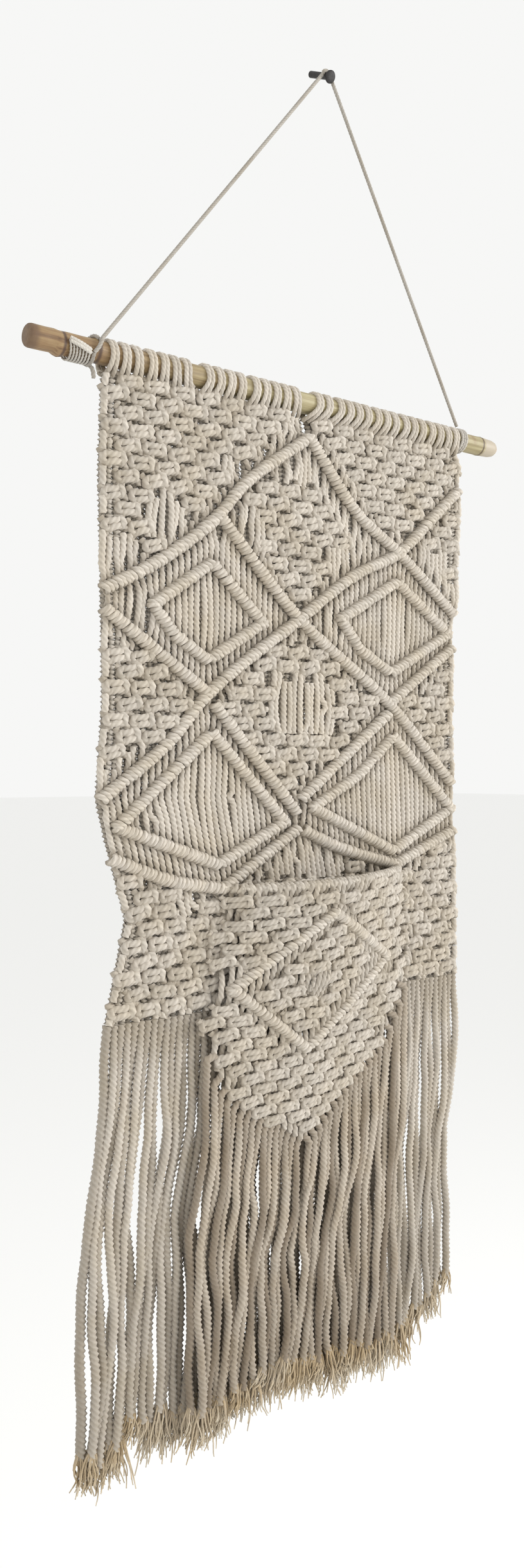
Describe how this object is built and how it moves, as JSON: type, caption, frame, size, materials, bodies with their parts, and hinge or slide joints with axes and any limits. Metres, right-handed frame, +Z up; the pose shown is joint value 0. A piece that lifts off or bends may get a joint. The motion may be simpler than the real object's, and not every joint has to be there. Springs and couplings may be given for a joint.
{
  "type": "macrame wall hanging on a stick, with its hanging cord and nail",
  "caption": "Knotted cotton wall hanging with a lattice of diamonds, a standing pocket and two fringes, larks-headed to a peeled stick that a thin cord hangs from a nail.",
  "frame": {"origin": "centre of the nail's flat end, on the wall's face", "axes": "+X to the right along the wall, +Y into the wall, +Z up; everything hangs in front of the wall at negative Y"},
  "size_m": [0.4077, 0.0503, 0.9171],
  "materials": {
    "cotton_cord": "matte twisted cotton",
    "thin_cotton_cord": "matte twisted cotton",
    "peeled_branch": "satin, streaked along the grain",
    "blackened_iron": "satin black"
  },
  "bodies": {
    "root": {"rod": "peeled_branch", "nail": "blackened_iron", "knotted_panel": "cotton_cord", "pocket_panel": "cotton_cord", "panel_fringe": "cotton_cord", "pocket_fringe": "cotton_cord", "left_hitch": "thin_cotton_cord", "right_hitch": "thin_cotton_cord", "hanging_cord": "thin_cotton_cord"}
  },
  "joints": []
}
